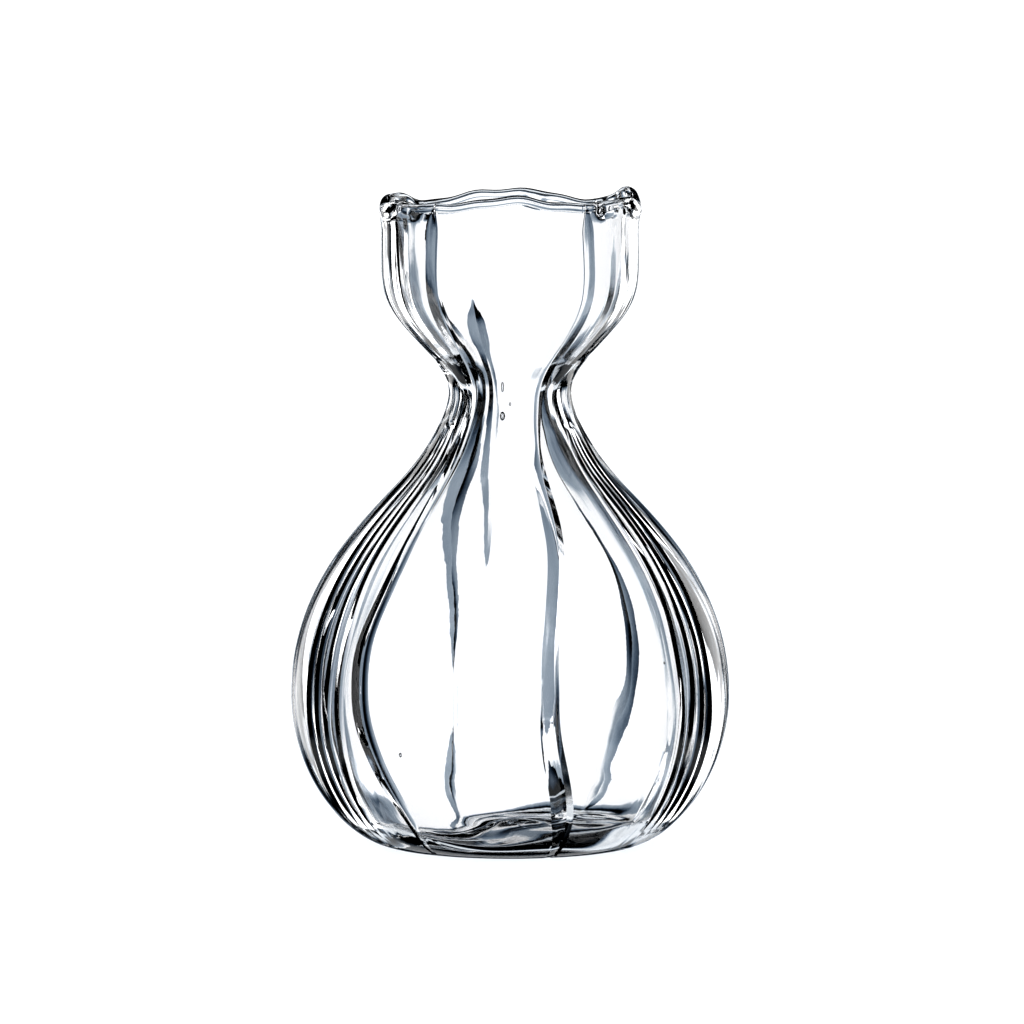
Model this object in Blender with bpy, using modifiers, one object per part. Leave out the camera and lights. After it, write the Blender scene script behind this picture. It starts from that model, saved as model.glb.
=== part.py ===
"""Glass bud vase: one blown piece with a cup mouth, a pinched neck, a six-lobed bulb and a flat foot.

The wall outline is turned about the upright axis. The turned skin is then pressed into lobes, twisted
through the neck and waved along the lip. Lengths are metres, +Z is up, and the origin is the centre of
the flat foot, on the surface that the vase stands on.
"""
import math

import bpy
from mathutils import Vector, geometry

MM = 0.001
FULL_TURN = 360.0

# Overall sizes
HEIGHT = 100.0 * MM
FOOT_FLAT_RADIUS = 18.4 * MM
PUNT_RADIUS = 10.5 * MM
PUNT_RISE = 0.7 * MM

# Outer skin, as lobe-top radius and height
CUP_RADIUS = 19.6 * MM
CUP_WALL_FOOT_Z = 88.7 * MM
CUP_WALL_HEAD_Z = 95.0 * MM
LIP_FLARE = 0.25 * MM
LIP_FLARE_PULL = 1.3 * MM
RING_RADIUS = 10.1 * MM
RING_Z = 73.1 * MM
NECK_RADIUS = 9.0 * MM
NECK_Z = 69.3 * MM
BELLY_RADIUS = 33.8 * MM
BELLY_Z = 23.0 * MM

# How far each curve runs straight on from its end points
CUP_FLOOR_PULL = 8.4 * MM
CUP_FLOOR_REACH_OUT = 5.2 * MM
CUP_FLOOR_REACH_UP = 4.2 * MM
RING_PULL_IN = 0.4 * MM
RING_PULL_DOWN = 1.3 * MM
NECK_PULL = 0.6 * MM
SHOULDER_NECK_PULL = 11.9 * MM
SHOULDER_BELLY_PULL = 25.8 * MM
BELLY_PULL = 12.6 * MM
HEEL_PULL = 6.5 * MM

# Wall thickness
CUP_WALL = 2.1 * MM
NECK_WALL = 3.3 * MM
BULB_WALL = 3.5 * MM
BASE_WALL = 4.2 * MM
CUP_WALL_ENDS_Z = 82.0 * MM
NECK_WALL_TOP_Z = 71.0 * MM
NECK_WALL_FOOT_Z = 66.0 * MM
BULB_WALL_TOP_Z = 45.0 * MM
BASE_WALL_STARTS_Z = 12.0 * MM
BASE_WALL_FULL_Z = 1.5 * MM

# Lobes and the creases between them. Crease angles start at the front, -Y, and grow towards +X.
LOBES = 6
CUP_CREASES = (-134.0, -88.0, -39.0, 39.0, 88.0, 134.0)
BULB_CREASES = (-160.0, -80.0, -43.0, 12.0, 77.0, 142.0)
LOBE_DEPTH = 0.03
FOOT_LOBE_DEPTH = 0.02
FOOT_LOBES_FADE_Z = 8.0 * MM
CREASE_GATHER = 0.35
TWIST_TOP_Z = 77.0 * MM
TWIST_FOOT_Z = 58.0 * MM

# Lip wave, with crests on the lobes and dips on the creases
LIP_WAVE = 1.5 * MM
LIP_WAVE_STARTS_Z = 88.0 * MM

# Mesh fineness
TURN_STEPS = 72
CUP_STEPS = 3
CUP_FLOOR_STEPS = 7
RING_STEPS = 3
SHOULDER_STEPS = 12
BELLY_STEPS = 8
PUNT_STEPS = 2
LIP_STEPS = 6
MERGE_DISTANCE = 0.00001

# Glass
GLASS_COLOUR = (0.95, 0.97, 0.98, 1.0)
GLASS_IOR = 1.5
GLASS_ROUGHNESS = 0.02


def clear_scene():
    for item in list(bpy.data.objects):
        bpy.data.objects.remove(item)


def curve(start, start_pull, end_pull, end, steps):
    """Points of a cubic curve, leaving out its first point."""
    corners = [Vector((corner[0], corner[1], 0.0)) for corner in (start, start_pull, end_pull, end)]
    points = geometry.interpolate_bezier(*corners, steps + 1)
    return [(point.x, point.y) for point in points[1:]]


def eased(value, start, end):
    """0 at start and 1 at end, with a level run-in at both."""
    share = min(max((value - start) / (end - start), 0.0), 1.0)
    return share * share * (3.0 - 2.0 * share)


def outer_outline():
    """Outer skin as (radius, height) from the lip down to the middle of the foot."""
    lip = (CUP_RADIUS + LIP_FLARE, HEIGHT - CUP_WALL / 2.0)
    wall_head = (CUP_RADIUS, CUP_WALL_HEAD_Z)
    wall_foot = (CUP_RADIUS, CUP_WALL_FOOT_Z)
    ring = (RING_RADIUS, RING_Z)
    neck = (NECK_RADIUS, NECK_Z)
    belly = (BELLY_RADIUS, BELLY_Z)
    foot = (FOOT_FLAT_RADIUS, 0.0)

    points = [lip]
    points += curve(lip, (lip[0], lip[1] - LIP_FLARE_PULL), (CUP_RADIUS, CUP_WALL_HEAD_Z + LIP_FLARE_PULL),
                    wall_head, CUP_STEPS)
    points.append(wall_foot)
    points += curve(wall_foot, (CUP_RADIUS, CUP_WALL_FOOT_Z - CUP_FLOOR_PULL),
                    (RING_RADIUS + CUP_FLOOR_REACH_OUT, RING_Z + CUP_FLOOR_REACH_UP), ring, CUP_FLOOR_STEPS)
    points += curve(ring, (RING_RADIUS - RING_PULL_IN, RING_Z - RING_PULL_DOWN),
                    (NECK_RADIUS, NECK_Z + NECK_PULL), neck, RING_STEPS)
    points += curve(neck, (NECK_RADIUS, NECK_Z - SHOULDER_NECK_PULL),
                    (BELLY_RADIUS, BELLY_Z + SHOULDER_BELLY_PULL), belly, SHOULDER_STEPS)
    points += curve(belly, (BELLY_RADIUS, BELLY_Z - BELLY_PULL), (FOOT_FLAT_RADIUS + HEEL_PULL, 0.0), foot,
                    BELLY_STEPS)
    points.append((PUNT_RADIUS, 0.0))
    points += curve((PUNT_RADIUS, 0.0), (PUNT_RADIUS / 2.0, 0.0), (PUNT_RADIUS / 2.0, PUNT_RISE),
                    (0.0, PUNT_RISE), PUNT_STEPS)
    return points


def wall_thickness(height):
    wall = CUP_WALL
    wall += (NECK_WALL - CUP_WALL) * eased(height, CUP_WALL_ENDS_Z, NECK_WALL_TOP_Z)
    wall += (BULB_WALL - NECK_WALL) * eased(height, NECK_WALL_FOOT_Z, BULB_WALL_TOP_Z)
    wall += (BASE_WALL - BULB_WALL) * eased(height, BASE_WALL_STARTS_Z, BASE_WALL_FULL_Z)
    return wall


def inner_outline(outer):
    """Inner skin, one wall in from the outer skin, in the same order."""
    points = []
    last = len(outer) - 1
    for place, (radius, height) in enumerate(outer):
        above = outer[max(place - 1, 0)]
        below = outer[min(place + 1, last)]
        run = Vector((below[0] - above[0], below[1] - above[1])).normalized()
        wall = wall_thickness(height)
        points.append((radius + run.y * wall, height - run.x * wall))
    points[0] = (outer[0][0] - CUP_WALL, outer[0][1])
    points[-1] = (0.0, outer[-1][1] + BASE_WALL)
    return points


def lip_outline(inner_top, outer_top):
    """Half-round lip from the inner skin over to the outer skin, without its two ends."""
    middle = (inner_top[0] + outer_top[0]) / 2.0
    radius = (outer_top[0] - inner_top[0]) / 2.0
    points = []
    for step in range(1, LIP_STEPS):
        angle = math.pi * (1.0 - step / LIP_STEPS)
        points.append((middle + radius * math.cos(angle), outer_top[1] + radius * math.sin(angle)))
    return points


def wall_outline():
    """Whole wall section: up the inside, over the lip and down the outside."""
    outer = outer_outline()
    inner = inner_outline(outer)
    return inner[::-1] + lip_outline(inner[0], outer[0]) + outer


def turned_mesh(name, outline):
    """Closed skin made by turning the outline once about the upright axis."""
    corners = [(radius, 0.0, height) for radius, height in outline]
    edges = [(place, place + 1) for place in range(len(corners) - 1)]
    section = bpy.data.meshes.new(name + "_section")
    section.from_pydata(corners, edges, [])
    turner = bpy.data.objects.new(name + "_turner", section)
    bpy.context.scene.collection.objects.link(turner)

    screw = turner.modifiers.new("turn", 'SCREW')
    screw.axis = 'Z'
    screw.angle = 2.0 * math.pi
    screw.steps = TURN_STEPS
    screw.render_steps = TURN_STEPS
    screw.use_merge_vertices = True
    screw.merge_threshold = MERGE_DISTANCE
    screw.use_smooth_shade = True

    view = bpy.context.evaluated_depsgraph_get()
    mesh = bpy.data.meshes.new_from_object(turner.evaluated_get(view))
    bpy.data.objects.remove(turner)
    bpy.data.meshes.remove(section)
    mesh.name = name
    return mesh


def lobe_depth(height):
    """Depth of the creases as a share of the radius."""
    return FOOT_LOBE_DEPTH + (LOBE_DEPTH - FOOT_LOBE_DEPTH) * eased(height, 0.0, FOOT_LOBES_FADE_Z)


def crease_angles(height):
    """Angle of each crease at a height, and then the first crease again, one full turn on."""
    twist = eased(height, TWIST_TOP_Z, TWIST_FOOT_Z)
    angles = [cup + (bulb - cup) * twist for cup, bulb in zip(CUP_CREASES, BULB_CREASES)]
    return angles + [angles[0] + FULL_TURN]


def press_lobes(mesh):
    """Moves a plain turned skin into lobes, with the twist in the neck and the wave along the lip."""
    for vertex in mesh.vertices:
        radius = math.hypot(vertex.co.x, vertex.co.y)
        height = vertex.co.z
        turn = math.degrees(math.atan2(vertex.co.x, -vertex.co.y)) % FULL_TURN
        place, lobe = math.modf(turn * LOBES / FULL_TURN)
        gathered = place - CREASE_GATHER * math.sin(2.0 * math.pi * place) / (2.0 * math.pi)
        creases = crease_angles(height)
        start = creases[int(lobe)]
        end = creases[int(lobe) + 1]
        angle = math.radians(start + (end - start) * gathered)
        lobed = radius * (1.0 - lobe_depth(height) * (1.0 - math.sin(math.pi * place)))
        dip = LIP_WAVE * (1.0 + math.cos(2.0 * math.pi * place)) / 2.0
        vertex.co.x = lobed * math.sin(angle)
        vertex.co.y = -lobed * math.cos(angle)
        vertex.co.z = height - dip * eased(height, LIP_WAVE_STARTS_Z, HEIGHT)


def glass_material():
    material = bpy.data.materials.new("clear_glass")
    material.use_nodes = True
    shader = material.node_tree.nodes["Principled BSDF"]
    shader.inputs["Base Color"].default_value = GLASS_COLOUR
    shader.inputs["Roughness"].default_value = GLASS_ROUGHNESS
    shader.inputs["IOR"].default_value = GLASS_IOR
    shader.inputs["Transmission Weight"].default_value = 1.0
    return material


def build_vase():
    group = bpy.data.collections.new("glass_bud_vase")
    bpy.context.scene.collection.children.link(group)
    mesh = turned_mesh("vase_glass", wall_outline())
    press_lobes(mesh)
    mesh.materials.append(glass_material())
    vase = bpy.data.objects.new("vase_glass", mesh)
    group.objects.link(vase)


clear_scene()
build_vase()
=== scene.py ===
"""Looks of the glass bud vase: clear blown glass, lit from behind so that its edges draw themselves dark."""

import math

import bpy
import numpy as np
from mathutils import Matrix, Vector


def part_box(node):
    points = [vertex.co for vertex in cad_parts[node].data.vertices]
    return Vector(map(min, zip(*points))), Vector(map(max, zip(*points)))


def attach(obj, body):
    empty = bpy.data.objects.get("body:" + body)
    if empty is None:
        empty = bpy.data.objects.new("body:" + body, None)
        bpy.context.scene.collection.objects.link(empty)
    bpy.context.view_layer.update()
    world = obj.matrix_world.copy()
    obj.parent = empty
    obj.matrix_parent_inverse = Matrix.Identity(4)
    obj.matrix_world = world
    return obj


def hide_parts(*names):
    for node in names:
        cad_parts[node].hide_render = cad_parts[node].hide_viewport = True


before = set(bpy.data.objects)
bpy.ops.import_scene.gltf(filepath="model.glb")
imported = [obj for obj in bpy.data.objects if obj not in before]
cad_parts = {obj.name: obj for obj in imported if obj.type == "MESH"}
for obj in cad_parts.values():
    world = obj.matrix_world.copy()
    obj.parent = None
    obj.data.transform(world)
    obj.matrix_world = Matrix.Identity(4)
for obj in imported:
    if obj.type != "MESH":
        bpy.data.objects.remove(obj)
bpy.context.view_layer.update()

# Every length below is in hundredths of the vase's height, and every angle in degrees, unless said otherwise.
# Angles round the vase start at the front, -Y, and grow towards +X.
VASE_LOW, VASE_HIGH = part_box("vase_glass")
UNIT = (VASE_HIGH.z - VASE_LOW.z) / 100.0
FULL_TURN = 360.0
HALF_TURN = 180.0

# Outer skin, as lobe-top radius and height
LIP_Z = 100.0
CUP_RADIUS = 19.8
CUP_WALL_HEAD_Z = 95.0
CUP_WALL_FOOT_Z = 88.7
LIP_FLARE = 0.3
LIP_FLARE_PULL = 1.3
RING_RADIUS = 9.7
RING_Z = 73.1
NECK_RADIUS = 8.7
NECK_Z = 69.3
BELLY_RADIUS = 33.8
BELLY_Z = 23.0
FOOT_FLAT_RADIUS = 18.4
PUNT_RADIUS = 10.5
PUNT_RISE = 0.7

# How far each curve runs straight on from its end points
CUP_FLOOR_PULL = 8.4
CUP_FLOOR_REACH_OUT = 5.2
CUP_FLOOR_REACH_UP = 4.2
RING_PULL_IN = 0.4
RING_PULL_DOWN = 1.3
NECK_PULL = 0.6
SHOULDER_NECK_PULL = 11.9
SHOULDER_BELLY_PULL = 25.8
BELLY_PULL = 12.6
HEEL_PULL = 6.5

# Smoothing of the outline round the neck: none at the first distance from the neck, and full at the second
NECK_BLEND = (16.0, 5.0)
OUTLINE_BLURS = 110
WALL_DIRECTION_BLURS = 4

# The wall is measured level above the second of these heights, and square to the skin below the first.
LEVEL_WALL_ZS = (5.0, 22.0)

# Tables below are stops of (height, value), from the lip down.
WALLS = ((100.0, 1.7), (99.3, 1.75), (98.8, 1.45), (92.0, 1.5), (62.0, 3.6), (48.0, 3.9), (14.0, 3.8),
         (4.0, 3.0))

# Depth of the dip between two lobes, as a share of the radius, and how sharply it folds
LOBE_DEPTHS = ((100.0, 0.02), (90.0, 0.01), (55.0, 0.013), (12.0, 0.013), (0.0, 0.01))
INNER_LOBE_DEPTHS = ((100.0, 0.01), (55.0, 0.008), (12.0, 0.008), (0.0, 0.0))
LOBE_SHARPNESS = ((100.0, 1.2), (75.0, 1.2), (55.0, 1.5), (0.0, 1.5))

# Share of that depth at each of the six creases, and the lobe width below which the dips grow flatter
CREASE_DEPTHS = (1.0, 0.6, 1.0, 1.0, 0.6, 1.0)
EVEN_LOBE = 60.0

# Lines pressed down the outside. Each has stops of angle and stops of width, and a line of no width leaves
# the glass smooth.
BACK_LEFT = (
    ((78.0, -136.5), (70.0, -142.0), (62.0, -150.0), (50.0, -156.0), (42.0, -159.0), (32.0, -161.0),
     (6.0, -160.0)),
    ((100.0, 0.2), (96.0, 1.7), (84.0, 2.0), (77.0, 2.6), (70.0, 2.2), (59.0, 3.2), (50.0, 3.0), (40.0, 2.4),
     (29.0, 1.7), (21.5, 0.0), (14.3, 0.0), (10.0, 1.6), (6.0, 2.1), (1.0, 1.0)))
LEFT = (
    ((78.0, -88.0), (62.0, -88.0), (50.0, -86.0), (42.0, -82.0), (32.0, -80.0), (22.0, -73.0), (6.0, -72.0)),
    ((100.0, 0.2), (96.0, 1.2), (70.0, 1.2), (52.0, 1.0), (44.0, 0.0)))
FRONT_LEFT = (
    ((78.0, -35.5), (62.0, -42.0), (50.0, -40.0), (42.0, -41.0), (32.0, -44.0), (22.0, -43.5), (14.0, -38.5),
     (6.0, -33.0)),
    ((100.0, 0.2), (96.0, 2.1), (84.0, 2.1), (77.0, 1.8), (70.0, 1.6), (52.0, 1.8), (45.0, 2.4), (36.0, 2.8),
     (31.0, 3.3), (20.0, 3.4), (11.0, 2.8), (6.8, 1.8), (1.0, 0.8)))
FRONT = (
    ((78.0, 35.5), (70.0, 31.0), (62.0, 21.0), (50.0, 19.0), (42.0, 15.0), (32.0, 11.5), (22.0, 12.0),
     (14.0, 15.0), (6.0, 18.5)),
    ((100.0, 0.2), (96.0, 2.1), (84.0, 2.1), (77.0, 1.8), (70.0, 1.6), (62.0, 0.8), (57.0, 2.2), (51.0, 2.8),
     (44.0, 2.6), (36.0, 2.5), (25.0, 2.8), (16.0, 3.6), (7.0, 3.6), (1.0, 1.5)))
RIGHT_MARK = (
    ((78.0, 46.0), (70.0, 46.0), (62.0, 45.0), (16.0, 44.5), (6.0, 42.0)),
    ((17.0, 0.0), (15.0, 1.4), (10.0, 1.8), (7.0, 1.2), (5.0, 0.0)))
RIGHT = (
    ((78.0, 88.0), (70.0, 84.0), (62.0, 72.0), (50.0, 68.0), (42.0, 74.0), (32.0, 78.0), (6.0, 78.0)),
    ((100.0, 0.2), (96.0, 1.2), (70.0, 1.2), (62.0, 1.6), (52.0, 2.0), (44.0, 0.0)))
BACK_RIGHT = (
    ((78.0, 136.5), (70.0, 139.0), (62.0, 144.0), (50.0, 144.0), (42.0, 141.0), (22.0, 140.0), (14.0, 143.0),
     (6.0, 145.0)),
    ((100.0, 0.2), (96.0, 1.7), (84.0, 2.0), (77.0, 2.6), (70.0, 1.6), (60.0, 0.4), (53.0, 0.4), (46.0, 1.0),
     (40.0, 2.0), (34.0, 3.2), (28.0, 3.3), (20.0, 3.0), (4.0, 3.2), (1.0, 1.0)))
BACK_MARK = (
    ((82.0, 199.0), (78.0, 200.0), (75.0, 203.0), (70.0, 205.0), (66.0, 202.0), (60.0, 197.0), (52.0, 190.0),
     (42.0, 187.0), (6.0, 187.0)),
    ((81.5, 0.0), (79.5, 3.4), (76.0, 3.6), (74.0, 2.4), (68.0, 2.2), (66.0, 3.0), (59.0, 2.5), (52.0, 2.0),
     (47.0, 1.4), (42.0, 1.1), (39.0, 0.0)))

# Four close saw-toothed lines down each side of the bulb, as angles under the cup and in the bulb
SIDE_LINE_ZS = (78.0, 62.0, 6.0)
SIDE_LINE_WIDTHS = ((64.0, 0.0), (60.0, 2.2), (8.0, 2.2), (4.0, 0.0))
LEFT_ANGLES = ((-78.0, -65.0), (-70.0, -60.0), (-62.0, -55.0), (-54.0, -50.5))
RIGHT_ANGLES = ((54.0, 50.0), (62.0, 54.5), (70.0, 59.0), (78.0, 64.0))
LEFT_LINES, RIGHT_LINES = [
    [(tuple(zip(SIDE_LINE_ZS, (cup, bulb, bulb))), SIDE_LINE_WIDTHS) for cup, bulb in angles]
    for angles in (LEFT_ANGLES, RIGHT_ANGLES)]

# All lines in their order round the vase, which of them are the creases between the lobes, and how many
# columns of the mesh stand on the smooth glass after each line
LINES = (BACK_LEFT, LEFT, *LEFT_LINES, FRONT_LEFT, FRONT, RIGHT_MARK, *RIGHT_LINES, RIGHT, BACK_RIGHT,
         BACK_MARK)
CREASES = (0, 1, 6, 7, 13, 14)
SMOOTH_COLUMNS = (32, 10, 2, 2, 2, 4, 32, 16, 3, 2, 2, 2, 6, 28, 22, 8)

# Rounding of the stops: how many readings are averaged, and how far up and down they reach
SOFT_SAMPLES = 7
ANGLE_SOFTNESS = 3.0
WIDTH_SOFTNESS = 0.8

# Sway of the lines from side to side: (share, height for one radian, radians from one line to the next)
LINE_SWAY = 0.35
SWAYS = ((1.0, 7.0, 2.1), (0.6, 3.1, 4.3))

# Slope of each groove's two flanks, before and after the line, in the cup and in the bulb
LEFT_SIDE_FLANKS = len(LEFT_ANGLES) * ((30.0, 15.0),)
RIGHT_SIDE_FLANKS = len(RIGHT_ANGLES) * ((15.0, 30.0),)
CUP_FLANKS = ((15.0, 24.0), (12.0, 12.0), *LEFT_SIDE_FLANKS, (6.0, 18.5), (18.5, 6.0), (14.0, 6.0),
              *RIGHT_SIDE_FLANKS, (12.0, 12.0), (24.0, 15.0), (22.5, 23.5))
BULB_FLANKS = ((19.0, 17.0), (10.0, 10.0), *LEFT_SIDE_FLANKS, (40.0, 13.7), (22.0, 58.0), (14.0, 6.0),
               *RIGHT_SIDE_FLANKS, (12.0, 12.0), (15.0, 14.0), (20.0, 20.0))
FLANKS_CHANGE_ZS = (78.0, 62.0)

# Columns on each flank, as shares of it, and the limits that keep grooves apart: the most of a gap that two
# of them fill, the narrowest flank as a share of the gap, and the radius below which they stop spreading
FLANK_COLUMNS = (0.35, 0.7)
GROOVES_FILL = 0.8
NARROWEST_FLANK = 0.004
SMALLEST_RADIUS = 0.5

# Lip height over each crease, and over the lobe that follows it
LIP_DIPS = (98.35, 98.4, 98.7, 98.8, 98.9, 98.4)
LIP_CRESTS = (99.85, 99.0, 100.0, 99.5, 100.6, 100.0)
LIP_WAVE_STARTS_Z = 86.0

# Ripple of the lip: (waves round it, shift in radians)
LIP_RIPPLE = 0.12
LIP_RIPPLES = ((11.0, 1.0), (17.0, 0.0))

# Lumps of the fire-polished lip: (angle, width, size)
LIP_LUMPS = ((-134.0, 5.0, 0.5), (-146.0, 4.0, 0.3), (-72.0, 8.0, 0.5), (-52.0, 4.0, 0.3), (168.0, 4.0, 0.45),
             (133.0, 4.0, 0.5), (48.0, 4.0, 0.35), (78.0, 8.0, 0.4), (110.0, 7.0, 0.5), (-112.0, 8.0, 0.4))
LIP_LUMP_Z = 98.6
LIP_LUMP_HEIGHT = 1.1

# Tool marks round the neck: (height, half height, depth). Their height wanders in two sets of waves round the
# neck, and their depth changes in another.
RING_MARKS = ((74.2, 0.55, 0.25), (65.6, 0.5, 0.08), (63.9, 0.4, 0.06))
RING_MARK_WANDER = 0.5
LONG_WANDER_WAVES = 2.0
SHORT_WANDER_WAVES = 5.0
RING_MARK_CHANGE = 0.4
RING_MARK_CHANGE_WAVES = 3.0

# Unevenness of the inner skin: (waves round it, height for one radian)
WALL_UNEVENNESS = 0.12
INNER_WAVES = ((2.0, 9.0), (3.0, -13.0), (5.0, 6.0))

# Waves in the floor of the bulb: waves round it, rings that swing in and out, and a spiral. A pitch is the
# radius for one radian of the waves.
FLOOR_WAVE = 0.16
FLOOR_WAVE_ENDS_Z = 9.0
FLOOR_ROUND_WAVES = 3.0
FLOOR_ROUND_SHIFT = 0.5
FLOOR_RING_PITCH = 1.8
FLOOR_RING_SWING = 2.0
FLOOR_RING_SWINGS = 2.0
FLOOR_SPIRAL_WAVES = 7.0
FLOOR_SPIRAL_PITCH = 3.0

# Seeds: air trapped in the wall, as (angle, radius, height, width, length)
SEEDS = ((-8.0, 7.6, 70.9, 0.46, 1.84), (0.0, 7.6, 68.0, 0.35, 0.6), (-8.0, 7.6, 66.0, 0.77, 1.5),
         (-31.0, 31.0, 17.0, 0.5, 0.7), (46.0, 31.5, 30.0, 0.35, 0.4))
SEED_RINGS = 8
SEED_SIDES = 12

# Rows of the mesh along each stretch of the outline
LIP_STEPS = 14
CUP_RIM_STEPS = 14
CUP_WALL_STEPS = 5
CUP_FLOOR_STEPS = 28
RING_STEPS = 14
SHOULDER_STEPS = 50
HEEL_STEPS = 34
FOOT_STEPS = 4
PUNT_STEPS = 8

# Camera
CAMERA_DISTANCE = 1000.0
CAMERA_ELEVATION = 4.8
CAMERA_AIM = (0.3, 0.0, 51.0)
FRAME_WIDTH = 156.9

# Light round the view line: a white panel behind the vase, a brighter strip far to each side, a strip below,
# and dark between them. Each change is (start angle, width, light before it, light after it). Changes add up.
PANEL_LIGHT = 1.3
PANEL_HAZE = 0.5
SIDE_LIGHT = 2.2
TABLE_LIGHT = 1.0
PANEL_CHANGES = ((9.5, 2.2, PANEL_LIGHT, PANEL_HAZE), (11.7, 6.5, 0.0, -PANEL_HAZE))
SIDE_CHANGES = ((23.0, 4.0, 0.0, SIDE_LIGHT), (41.0, 6.0, 0.0, -SIDE_LIGHT))
TABLE_CHANGES = ((22.0, 5.0, 0.0, TABLE_LIGHT), (36.0, 6.0, 0.0, -TABLE_LIGHT))
SIDE_HEIGHT_CHANGES = ((22.0, 16.0, 1.0, 0.0),)

# Powers that tint light dimmer than the panel towards blue
RED_POWER = 1.15
BLUE_POWER = 0.86

# Colours and surfaces. The floor's size is in metres.
FLOOR_LIGHT = (1.3, 1.3, 1.3, 1.0)
FLOOR_COLOUR = (0.95, 0.95, 0.95, 1.0)
FLOOR_ROUGHNESS = 0.9
FLOOR_SIZE = 12.0
FLOOR_GAP = 0.05
GLASS_IOR = 1.5
GLASS_COLOUR = (0.985, 0.99, 1.0, 1.0)
SHADOW_COLOUR = (0.93, 0.94, 0.95, 1.0)
PICTURE_GAMMA = 0.8

# Fine drawn lines and specks in the skin of the glass, as tilts of its normal
STRAND_SCALE = 14.0
STRAND_DETAIL = 3.0
STRAND_ROUGHNESS = 0.65
STRAND_LENGTH = 0.02
STRAND_TILT = 0.14
STRANDS_IN_FRONT = 0.3
SPECK_SCALE = 4.0
SPECK_DETAIL = 1.0
SPECK_TILT = 0.004
NOISE_MIDDLE = 0.5

# Sockets of a node that mixes colours
MIX_SHARE = 0
MIX_FIRST = 6
MIX_SECOND = 7
MIX_RESULT = 2


def eased(value, start, end):
    """0 at start and 1 at end, with a level run-in at both. It takes numbers or arrays."""
    share = np.clip((value - start) / (end - start), 0.0, 1.0)
    return share * share * (3.0 - 2.0 * share)


def along(height, stops):
    """Reads a value off (height, value) stops that run from the lip down."""
    heights, values = zip(*stops[::-1])
    return np.interp(height, heights, values)


def softly_along(height, stops, reach):
    """The same, with the corners at the stops rounded off over a reach of height."""
    shifts = np.linspace(-reach, reach, SOFT_SAMPLES)
    return sum(along(height + shift, stops) for shift in shifts) / SOFT_SAMPLES


def blurred(rows, times):
    """The rows, each averaged with its neighbours this many times. The two end rows stay."""
    rows = rows.copy()
    for blur in range(times):
        rows[1:-1] = (rows[:-2] + 2.0 * rows[1:-1] + rows[2:]) / 4.0
    return rows


def curve(start, start_pull, end_pull, end, steps):
    """Points of a cubic curve, leaving out its first point."""
    share = np.linspace(0.0, 1.0, steps + 1)[1:, None]
    rest = 1.0 - share
    return (rest ** 3 * np.array(start) + 3 * rest ** 2 * share * np.array(start_pull)
            + 3 * rest * share ** 2 * np.array(end_pull) + share ** 3 * np.array(end))


def outer_outline():
    """Outer skin as (radius, height) rows from the lip down to the middle of the foot."""
    lip = (CUP_RADIUS + LIP_FLARE, LIP_Z - WALLS[0][1] / 2.0)
    wall_head = (CUP_RADIUS, CUP_WALL_HEAD_Z)
    wall_foot = (CUP_RADIUS, CUP_WALL_FOOT_Z)
    ring = (RING_RADIUS, RING_Z)
    neck = (NECK_RADIUS, NECK_Z)
    belly = (BELLY_RADIUS, BELLY_Z)
    foot = (FOOT_FLAT_RADIUS, 0.0)
    punt = (PUNT_RADIUS, 0.0)
    outline = np.concatenate([
        [lip],
        curve(lip, (lip[0], lip[1] - LIP_FLARE_PULL), (CUP_RADIUS, CUP_WALL_HEAD_Z + LIP_FLARE_PULL),
              wall_head, CUP_RIM_STEPS),
        curve(wall_head, wall_head, wall_foot, wall_foot, CUP_WALL_STEPS),
        curve(wall_foot, (CUP_RADIUS, CUP_WALL_FOOT_Z - CUP_FLOOR_PULL),
              (RING_RADIUS + CUP_FLOOR_REACH_OUT, RING_Z + CUP_FLOOR_REACH_UP), ring, CUP_FLOOR_STEPS),
        curve(ring, (RING_RADIUS - RING_PULL_IN, RING_Z - RING_PULL_DOWN), (NECK_RADIUS, NECK_Z + NECK_PULL),
              neck, RING_STEPS),
        curve(neck, (NECK_RADIUS, NECK_Z - SHOULDER_NECK_PULL), (BELLY_RADIUS, BELLY_Z + SHOULDER_BELLY_PULL),
              belly, SHOULDER_STEPS),
        curve(belly, (BELLY_RADIUS, BELLY_Z - BELLY_PULL), (FOOT_FLAT_RADIUS + HEEL_PULL, 0.0),
              foot, HEEL_STEPS),
        curve(foot, foot, punt, punt, FOOT_STEPS),
        curve(punt, (PUNT_RADIUS / 2.0, 0.0), (PUNT_RADIUS / 2.0, PUNT_RISE), (0.0, PUNT_RISE), PUNT_STEPS),
    ])
    smoothness = eased(np.abs(outline[:, [1]] - NECK_Z), *NECK_BLEND)
    return outline + (blurred(outline, OUTLINE_BLURS) - outline) * smoothness


def inner_outline(outer):
    """Inner skin, one wall in from the outer skin, in the same order."""
    run = blurred(np.gradient(outer, axis=0), WALL_DIRECTION_BLURS)
    run /= np.linalg.norm(run, axis=1)[:, None]
    wall = along(outer[:, [1]], WALLS)
    level = eased(outer[:, [1]], *LEVEL_WALL_ZS)
    across = np.stack([run[:, 1], -run[:, 0]], 1) * (1.0 - level) + np.array([-1.0, 0.0]) * level
    inner = outer + across * wall
    inner[0] = (outer[0, 0] - wall[0, 0], outer[0, 1])
    inner[-1] = (0.0, PUNT_RISE + wall[-1, 0])
    return inner


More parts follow.
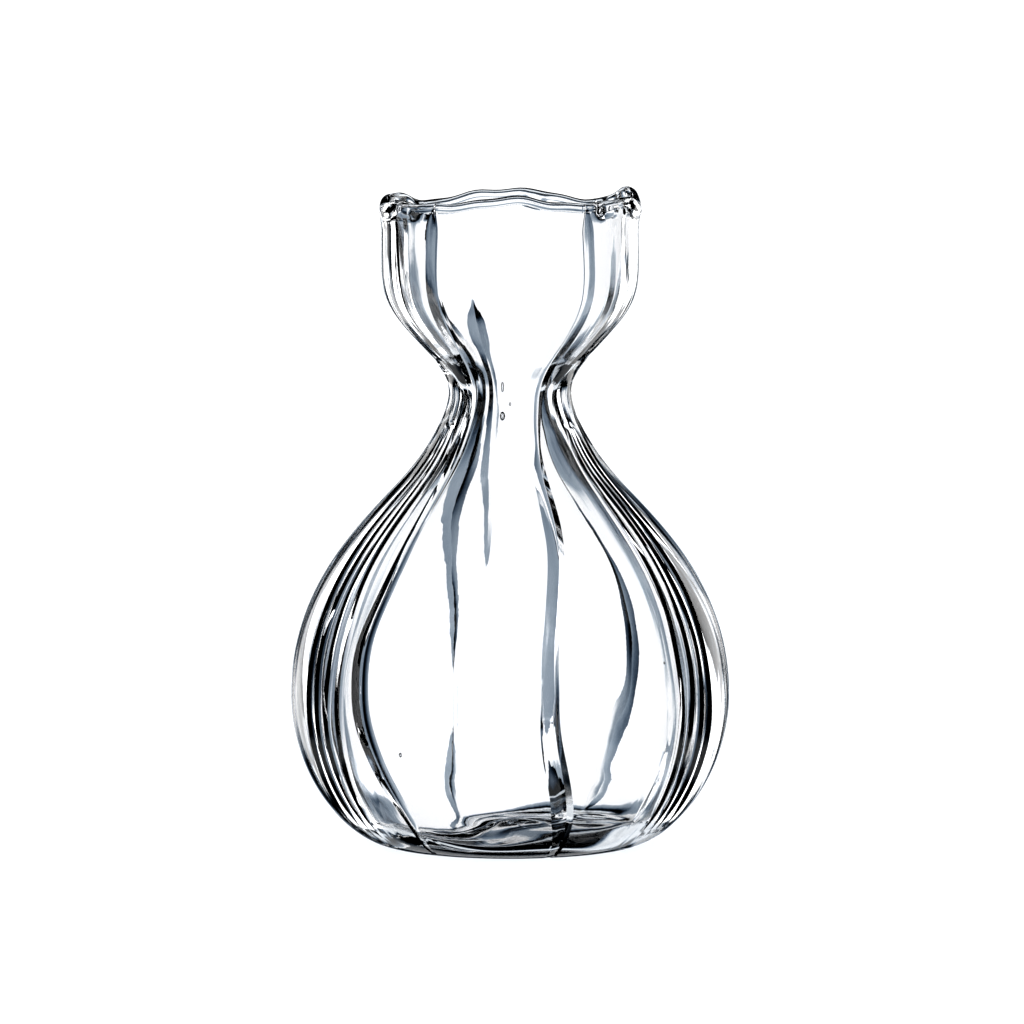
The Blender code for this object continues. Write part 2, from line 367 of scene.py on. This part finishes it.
def wall_outline():
    """Wall section up the inside, over the lip and down the outside, and how far inside each row is."""
    outer = outer_outline()
    inner = inner_outline(outer)
    turn = np.linspace(math.pi, 0.0, LIP_STEPS + 1)[1:-1]
    middle = (outer[0] + inner[0]) / 2.0
    radius = (outer[0, 0] - inner[0, 0]) / 2.0
    lip = middle + radius * np.stack([np.cos(turn), np.sin(turn)], 1)
    inside = np.concatenate([np.ones(len(inner)), (1.0 - np.cos(turn)) / 2.0, np.zeros(len(outer))])
    return np.concatenate([inner[::-1], lip, outer]), inside


def line_angles(height):
    """Angle of each line at each height, one column a line, and then the first line again, one turn on."""
    angles = np.concatenate([softly_along(height, path, ANGLE_SOFTNESS) for path, widths in LINES], 1)
    line = np.arange(len(LINES))
    angles += LINE_SWAY * sum(share * np.sin(height / pitch + shift * line) for share, pitch, shift in SWAYS)
    return np.concatenate([angles, angles[:, :1] + FULL_TURN], 1)


def groove_shapes(height):
    """Depth of each line's groove and the width of its two flanks, before and after it, one column a line."""
    widths = np.concatenate([softly_along(height, widths, WIDTH_SOFTNESS) for path, widths in LINES], 1)
    change = eased(height, *FLANKS_CHANGE_ZS)
    before, after = [
        np.tan(np.radians(cup * (1.0 - change) + bulb * change))
        for cup, bulb in zip(np.array(CUP_FLANKS).T, np.array(BULB_FLANKS).T)]
    depth = widths / (1.0 / before + 1.0 / after)
    return depth, depth / before, depth / after


def places_between(gap, flank_here, flank_there, smooth):
    """Angles past a line where columns stand: out of its groove, over smooth glass, into the next groove."""
    out_of_groove = [share * flank_here for share in (0.0, *FLANK_COLUMNS)]
    even = [flank_here + (gap - flank_here - flank_there) * share for share in np.linspace(0.0, 1.0, smooth)]
    into_groove = [gap - share * flank_there for share in FLANK_COLUMNS[::-1]]
    return out_of_groove + even + into_groove


def grid_columns(angles, radius, height):
    """Every column round the vase, with one value a row: its angle, the depth of the groove there, the angle
    that the column has in the cup, and whether the skin is creased."""
    straight = line_angles(np.array([[LIP_Z]]))
    depth, before, after = groove_shapes(height)
    length_of_degree = np.radians(1.0) * np.maximum(radius, SMALLEST_RADIUS)
    columns = []
    for here, smooth in enumerate(SMOOTH_COLUMNS):
        there = (here + 1) % len(LINES)
        gap = angles[:, [here + 1]] - angles[:, [here]]
        cup_gap = straight[0, here + 1] - straight[0, here]
        flank_here = after[:, [here]] / length_of_degree
        flank_there = before[:, [there]] / length_of_degree
        crowding = np.maximum((flank_here + flank_there) / (GROOVES_FILL * gap), 1.0)
        flank_here = np.maximum(flank_here / crowding, NARROWEST_FLANK * gap)
        flank_there = np.maximum(flank_there / crowding, NARROWEST_FLANK * gap)
        line_creased = {0: here, len(FLANK_COLUMNS) + 1: here, len(FLANK_COLUMNS) + smooth: there}
        for number, past in enumerate(places_between(gap, flank_here, flank_there, smooth)):
            dent = (depth[:, [here]] * np.clip(1.0 - past / flank_here, 0.0, 1.0)
                    + depth[:, [there]] * np.clip(1.0 - (gap - past) / flank_there, 0.0, 1.0)) / crowding
            strand = straight[0, here] + cup_gap * past / gap
            creased = (number in line_creased) & (depth[:, [line_creased.get(number, here)]] > 0.0)
            columns.append((angles[:, [here]] + past, dent, strand, creased))
    return [np.concatenate(part, 1) for part in zip(*columns)]


def lobe_places(angles, angle):
    """Which lobe each point is in, how far through the lobe it is, 0 to 1, and the width of the lobe."""
    creases = angles[:, [*CREASES, len(LINES)]]
    lobe = sum((angle >= creases[:, [which]]).astype(int) for which in range(1, len(CREASES)))
    start = np.take_along_axis(creases, lobe, 1)
    width = np.take_along_axis(creases, lobe + 1, 1) - start
    return lobe, (angle - start) / width, width


def at_nearer_crease(values, lobe, place):
    """Picks for each point the value of the crease that it is nearer to, from one value a crease."""
    values = np.array(values)
    return np.where(place < 0.5, values[lobe], np.roll(values, -1)[lobe])


def lobe_dips(height, inside, lobe, place, width):
    """How far the skin dips between the lobes, as a share of its radius. Narrow lobes are flatter."""
    fold = (1.0 - np.abs(np.sin(math.pi * place))) ** along(height, LOBE_SHARPNESS)
    soft_fold = np.cos(math.pi * place) ** 2
    narrow = np.minimum(width / EVEN_LOBE, 1.0) ** 2
    firmness = at_nearer_crease(CREASE_DEPTHS, lobe, place)
    return narrow * (along(height, LOBE_DEPTHS) * firmness * fold * (1.0 - inside)
                     + along(height, INNER_LOBE_DEPTHS) * soft_fold * inside)


def inner_unevenness(turn, radius, height, inside):
    uneven = sum(np.sin(waves * turn + height / pitch) for waves, pitch in INNER_WAVES)
    return WALL_UNEVENNESS * inside * uneven * np.clip(radius / FOOT_FLAT_RADIUS, 0.0, 1.0)


def ring_marks(turn, height, inside):
    """Depth of the tool marks, which bite at the sides of the neck and fade to its front and back."""
    depth = 0.0
    for mark_z, half, deep in RING_MARKS:
        wander = np.sin(LONG_WANDER_WAVES * turn + mark_z) + np.sin(SHORT_WANDER_WAVES * turn) / 2.0
        wandering = mark_z + RING_MARK_WANDER * wander
        firmness = 1.0 - RING_MARK_CHANGE + RING_MARK_CHANGE * np.sin(RING_MARK_CHANGE_WAVES * turn + mark_z)
        depth = depth + deep * firmness * np.sin(turn) ** 2 * np.exp(-((height - wandering) / half) ** 2)
    return depth * (1.0 - inside)


def lip_lumps(angle, height, inside):
    lumps = 0.0
    for lump_angle, lump_width, lump_size in LIP_LUMPS:
        off = (angle - lump_angle + HALF_TURN) % FULL_TURN - HALF_TURN
        lumps = lumps + lump_size * np.exp(
            -(off / lump_width) ** 2 - ((height - LIP_LUMP_Z) / LIP_LUMP_HEIGHT) ** 2)
    return lumps * (1.0 - 2.0 * inside)


def lip_lift(turn, height, lobe, place):
    """How far the wave of the lip lifts the skin, fading out down the cup."""
    dip = at_nearer_crease(LIP_DIPS, lobe, place)
    lip = dip + (np.array(LIP_CRESTS)[lobe] - dip) * (1.0 - np.cos(2.0 * math.pi * place)) / 2.0
    lip += LIP_RIPPLE * sum(np.sin(waves * turn + shift) for waves, shift in LIP_RIPPLES)
    return (lip - LIP_Z) * eased(height, LIP_WAVE_STARTS_Z, LIP_Z)


def floor_lift(turn, radius, height, inside):
    """How far the waves in the floor of the bulb lift the inner skin."""
    waves = np.sin(FLOOR_ROUND_WAVES * turn + FLOOR_ROUND_SHIFT)
    rings = np.sin(radius / FLOOR_RING_PITCH + FLOOR_RING_SWING * np.sin(FLOOR_RING_SWINGS * turn))
    spiral = np.sin(FLOOR_SPIRAL_WAVES * turn + radius / FLOOR_SPIRAL_PITCH)
    return (FLOOR_WAVE * (waves + rings + spiral) * inside * np.clip(radius / PUNT_RADIUS, 0.0, 1.0)
            * (1.0 - eased(height, FLOOR_WAVE_ENDS_Z / 2.0, FLOOR_WAVE_ENDS_Z)))


def skin_points():
    """Grid of points, one row for each point of the outline and one column for each place round the vase.
    It also gives the angle that each column has in the cup, how far inside each row is, and the creases."""
    outline, inside = wall_outline()
    radius = outline[:, [0]]
    height = outline[:, [1]]
    inside = inside[:, None]
    angles = line_angles(height)
    angle, dent, strand, creased = grid_columns(angles, radius, height)
    lobe, place, width = lobe_places(angles, angle)
    turn = np.radians(angle)

    lobed = radius * (1.0 - lobe_dips(height, inside, lobe, place, width)) - dent * (1.0 - inside)
    lobed -= inner_unevenness(turn, radius, height, inside)
    lobed -= ring_marks(turn, height, inside)
    lobed += lip_lumps(angle, height, inside)
    lifted = height + lip_lift(turn, height, lobe, place) + floor_lift(turn, radius, height, inside)
    points = np.stack([lobed * np.sin(turn), -lobed * np.cos(turn), lifted], 2)
    return points, np.radians(strand), inside, creased & (inside == 0.0)


def grid_faces(rows, columns):
    """Quads of a grid that closes round on itself."""
    corner = np.arange(rows * columns).reshape(rows, columns)
    here, above = corner[:-1], corner[1:]
    return np.stack([here, above, np.roll(above, -1, 1), np.roll(here, -1, 1)], 2).reshape(-1, 4)


def seed_shape(angle, radius, height, width, length, first):
    """Corners and faces of one seed: a long bubble whose faces look into its own air."""
    rise = np.linspace(-math.pi / 2.0, math.pi / 2.0, SEED_RINGS + 1)[1:-1, None]
    around = np.arange(SEED_SIDES) * 2.0 * math.pi / SEED_SIDES
    turn = math.radians(angle)
    middle = np.array([radius * math.sin(turn), -radius * math.cos(turn), height])
    rings = np.stack([np.cos(rise) * np.cos(around) * width / 2.0,
                      np.cos(rise) * np.sin(around) * width / 2.0,
                      np.sin(rise) * length / 2.0 + 0.0 * around], 2).reshape(-1, 3)
    poles = np.array([[0.0, 0.0, -length / 2.0], [0.0, 0.0, length / 2.0]])
    corners = np.concatenate([rings, poles]) + middle
    faces = (grid_faces(SEED_RINGS - 1, SEED_SIDES) + first).tolist()
    low = first + len(rings)
    high = low + 1
    top = first + (SEED_RINGS - 2) * SEED_SIDES
    for side in range(SEED_SIDES):
        following = (side + 1) % SEED_SIDES
        faces.append([low, first + side, first + following])
        faces.append([high, top + following, top + side])
    return corners, faces


def skin_faces(rows, columns):
    """Faces of the skin: the grid, and a fan at each end to the middle of the floor and of the foot."""
    floor_middle = rows * columns
    foot_middle = floor_middle + 1
    last_ring = floor_middle - columns
    faces = grid_faces(rows, columns).tolist()
    pairs = [(here, (here + 1) % columns) for here in range(columns)]
    faces += [[floor_middle, here, there] for here, there in pairs]
    faces += [[foot_middle, last_ring + there, last_ring + here] for here, there in pairs]
    return faces


def vase_mesh():
    points, strand, inside, creased = skin_points()
    rings = points[1:-1]
    corners = np.concatenate([rings.reshape(-1, 3), points[[0, -1], 0]])
    faces = skin_faces(*rings.shape[:2])
    for seed in SEEDS:
        seed_corners, seed_faces = seed_shape(*seed, len(corners))
        corners = np.concatenate([corners, seed_corners])
        faces += seed_faces
    corners *= UNIT
    corners[:, 2] += VASE_LOW.z
    mesh = bpy.data.meshes.new("vase")
    mesh.from_pydata(corners.tolist(), [], faces)
    mesh.shade_smooth()
    sharpen_creases(mesh, creased[1:-1])
    mark_strands(mesh, strand[1:-1], rings[:, :, 2], inside[1:-1])
    return mesh


def sharpen_creases(mesh, creased):
    """Marks the bottom and the two edges of each groove on the outer skin as sharp."""
    columns = creased.shape[1]
    corner_is_creased = np.zeros(len(mesh.vertices), bool)
    corner_is_creased[:creased.size] = creased.ravel()
    ends = np.empty(len(mesh.edges) * 2, int)
    mesh.edges.foreach_get("vertices", ends)
    ends = ends.reshape(-1, 2)
    runs_down = ends[:, 0] % columns == ends[:, 1] % columns
    edges = mesh.attributes.new("sharp_edge", 'BOOLEAN', 'EDGE')
    edges.data.foreach_set("value", corner_is_creased[ends].all(1) & runs_down)


def mark_strands(mesh, strand, height, inside):
    """Stores where each corner sits on the straight tube of glass that the vase was drawn from, and how
    firmly the strands show there: on the inner skin only, and less to the front and back."""
    place = np.zeros((len(mesh.vertices), 3))
    on_tube = np.stack([np.cos(strand), np.sin(strand), height * STRAND_LENGTH / STRAND_SCALE], 2)
    place[:strand.size] = on_tube.reshape(-1, 3)
    mesh.attributes.new("strand", 'FLOAT_VECTOR', 'POINT').data.foreach_set("vector", place.ravel())
    strength = np.zeros(len(mesh.vertices))
    sideways = STRANDS_IN_FRONT + (1.0 - STRANDS_IN_FRONT) * np.sin(strand) ** 2
    strength[:strand.size] = (inside * sideways).ravel()
    mesh.attributes.new("inside", 'FLOAT', 'POINT').data.foreach_set("value", strength)


def make_piece(name, mesh, material):
    piece = bpy.data.objects.new(name, mesh)
    bpy.context.scene.collection.objects.link(piece)
    mesh.materials.append(material)
    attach(piece, "root")
    return piece


def add_node(tree, kind, inputs=(), **settings):
    """A node with its settings, and each input either linked to a socket or set to a value."""
    node = tree.nodes.new(kind)
    for name, value in settings.items():
        setattr(node, name, value)
    for name, value in dict(inputs).items():
        if isinstance(value, bpy.types.NodeSocket):
            tree.links.new(value, node.inputs[name])
        else:
            node.inputs[name].default_value = value
    return node


def maths(tree, operation, first, second=0.0, third=0.0):
    return add_node(tree, "ShaderNodeMath", {0: first, 1: second, 2: third}, operation=operation).outputs[0]


def vector_maths(tree, operation, inputs):
    return add_node(tree, "ShaderNodeVectorMath", inputs, operation=operation).outputs[0]


def drawn_strands(tree, normal):
    """Sideways tilts along the drawn lines of the glass."""
    strand = add_node(tree, "ShaderNodeAttribute", attribute_name="strand")
    drawn = add_node(tree, "ShaderNodeTexNoise",
                     {"Vector": strand.outputs["Vector"], "Scale": STRAND_SCALE, "Detail": STRAND_DETAIL,
                      "Roughness": STRAND_ROUGHNESS})
    inside = add_node(tree, "ShaderNodeAttribute", attribute_name="inside")
    strength = maths(tree, 'MULTIPLY', inside.outputs["Fac"], STRAND_TILT)
    tilt = maths(tree, 'MULTIPLY', maths(tree, 'SUBTRACT', drawn.outputs["Fac"], NOISE_MIDDLE), strength)
    across = vector_maths(tree, 'CROSS_PRODUCT', {0: (0.0, 0.0, 1.0), 1: normal})
    return vector_maths(tree, 'SCALE', {0: across, "Scale": tilt})


def fine_specks(tree, position):
    """Small tilts every way."""
    specks = add_node(tree, "ShaderNodeTexNoise",
                      {"Vector": position, "Scale": SPECK_SCALE / UNIT, "Detail": SPECK_DETAIL})
    speck = vector_maths(tree, 'SUBTRACT', {0: specks.outputs["Color"], 1: 3 * (NOISE_MIDDLE,)})
    return vector_maths(tree, 'SCALE', {0: speck, "Scale": SPECK_TILT})


def skin_normal(tree):
    """Normal of the glass, with the tilts of its strands and specks."""
    shape = add_node(tree, "ShaderNodeNewGeometry")
    sideways = drawn_strands(tree, shape.outputs["Normal"])
    speckled = fine_specks(tree, shape.outputs["Position"])
    tilted = vector_maths(tree, 'ADD', {0: shape.outputs["Normal"], 1: sideways})
    return vector_maths(tree, 'NORMALIZE', {0: vector_maths(tree, 'ADD', {0: tilted, 1: speckled})})


def glass_material():
    """Clear glass that lets light straight through to the floor."""
    material = bpy.data.materials.new("clear_glass")
    material.use_nodes = True
    tree = material.node_tree
    shader = tree.nodes["Principled BSDF"]
    shader.inputs["Base Color"].default_value = GLASS_COLOUR
    shader.inputs["Roughness"].default_value = 0.0
    shader.inputs["IOR"].default_value = GLASS_IOR
    shader.inputs["Transmission Weight"].default_value = 1.0
    tree.links.new(skin_normal(tree), shader.inputs["Normal"])
    path = add_node(tree, "ShaderNodeLightPath")
    lets_through = maths(tree, 'MAXIMUM', path.outputs["Is Shadow Ray"], path.outputs["Is Diffuse Ray"])
    clear = add_node(tree, "ShaderNodeBsdfTransparent", {"Color": SHADOW_COLOUR})
    mix = add_node(tree, "ShaderNodeMixShader", {0: lets_through, 1: shader.outputs[0], 2: clear.outputs[0]})
    tree.links.new(mix.outputs[0], tree.nodes["Material Output"].inputs["Surface"])
    return material


def floor_material():
    material = bpy.data.materials.new("pale_floor")
    material.use_nodes = True
    shader = material.node_tree.nodes["Principled BSDF"]
    shader.inputs["Base Color"].default_value = FLOOR_COLOUR
    shader.inputs["Roughness"].default_value = FLOOR_ROUGHNESS
    shader.inputs["Specular IOR Level"].default_value = 0.0
    return material


def make_floor():
    """Pale floor that the glass itself neither mirrors nor shows."""
    bpy.ops.mesh.primitive_plane_add(size=FLOOR_SIZE, location=(0.0, 0.0, VASE_LOW.z - FLOOR_GAP * UNIT))
    floor = bpy.context.object
    floor.name = "floor"
    floor.data.materials.append(floor_material())
    floor.visible_transmission = False
    floor.visible_glossy = False


def diagonal(tree, first, second):
    """Length of the diagonal over two sides."""
    squares = [maths(tree, 'MULTIPLY', side, side) for side in (first, second)]
    return maths(tree, 'SQRT', maths(tree, 'ADD', *squares))


def degrees(tree, opposite, adjacent):
    """Angle whose tangent is opposite over adjacent."""
    return maths(tree, 'DEGREES', maths(tree, 'ARCTAN2', opposite, adjacent))


def summed_steps(tree, angle, changes):
    """Light over an angle, as the sum of soft steps."""
    steps = [add_node(tree, "ShaderNodeMapRange",
                      {"Value": angle, "From Min": start, "From Max": start + width, "To Min": before,
                       "To Max": after}, interpolation_type='SMOOTHSTEP').outputs[0]
             for start, width, before, after in changes]
    total = steps[0]
    for step in steps[1:]:
        total = maths(tree, 'ADD', total, step)
    return total


def studio_light(tree):
    """Brightness of the studio, set by how far a ray turns from the view line."""
    where = add_node(tree, "ShaderNodeTexCoord")
    across, up, ahead = add_node(tree, "ShaderNodeSeparateXYZ", {0: where.outputs["Camera"]}).outputs
    level = diagonal(tree, across, ahead)
    from_view = degrees(tree, diagonal(tree, across, up), ahead)
    sideways = degrees(tree, maths(tree, 'ABSOLUTE', across), ahead)
    off_level = degrees(tree, maths(tree, 'ABSOLUTE', up), level)
    downward = degrees(tree, maths(tree, 'MULTIPLY', up, -1.0), level)
    panel = summed_steps(tree, from_view, PANEL_CHANGES)
    sides = maths(tree, 'MULTIPLY', summed_steps(tree, sideways, SIDE_CHANGES),
                  summed_steps(tree, off_level, SIDE_HEIGHT_CHANGES))
    table = summed_steps(tree, downward, TABLE_CHANGES)
    return maths(tree, 'MAXIMUM', maths(tree, 'MAXIMUM', panel, sides), table)


def tinted_light(tree, light):
    """The light as a colour: bluer where it is dimmer than the panel, and neutral from there up."""
    panel_share = maths(tree, 'MINIMUM', maths(tree, 'DIVIDE', light, PANEL_LIGHT), 1.0)
    past_panel = maths(tree, 'SUBTRACT', light, maths(tree, 'MULTIPLY', panel_share, PANEL_LIGHT))
    red, blue = [
        maths(tree, 'MULTIPLY_ADD', maths(tree, 'POWER', panel_share, power), PANEL_LIGHT, past_panel)
        for power in (RED_POWER, BLUE_POWER)]
    return add_node(tree, "ShaderNodeCombineXYZ", {"X": red, "Y": light, "Z": blue}).outputs[0]


def world_light():
    """Studio light from all round, which is even for the matt floor."""
    world = bpy.data.worlds.new("studio")
    bpy.context.scene.world = world
    world.use_nodes = True
    world.cycles.sampling_method = 'NONE'
    tree = world.node_tree
    tree.nodes.clear()
    path = add_node(tree, "ShaderNodeLightPath")
    colour = add_node(tree, "ShaderNodeMix", data_type='RGBA')
    tree.links.new(path.outputs["Is Diffuse Ray"], colour.inputs[MIX_SHARE])
    tree.links.new(tinted_light(tree, studio_light(tree)), colour.inputs[MIX_FIRST])
    colour.inputs[MIX_SECOND].default_value = FLOOR_LIGHT
    background = add_node(tree, "ShaderNodeBackground", {"Color": colour.outputs[MIX_RESULT]})
    output = add_node(tree, "ShaderNodeOutputWorld")
    tree.links.new(background.outputs[0], output.inputs["Surface"])


def make_camera():
    camera = bpy.data.objects.new("camera", bpy.data.cameras.new("camera"))
    bpy.context.scene.collection.objects.link(camera)
    camera.data.lens = camera.data.sensor_width * CAMERA_DISTANCE / FRAME_WIDTH
    rise = math.radians(CAMERA_ELEVATION)
    back = Vector((0.0, -math.cos(rise), math.sin(rise)))
    aim = Vector(CAMERA_AIM) * UNIT
    camera.location = aim + back * CAMERA_DISTANCE * UNIT
    camera.rotation_mode = 'QUATERNION'
    camera.rotation_quaternion = (-back).to_track_quat('-Z', 'Y')
    bpy.context.scene.camera = camera


vase = make_piece("vase", vase_mesh(), glass_material())
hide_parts("vase_glass")
make_floor()
world_light()
make_camera()
bpy.context.scene.view_settings.view_transform = 'Standard'
bpy.context.scene.view_settings.gamma = PICTURE_GAMMA
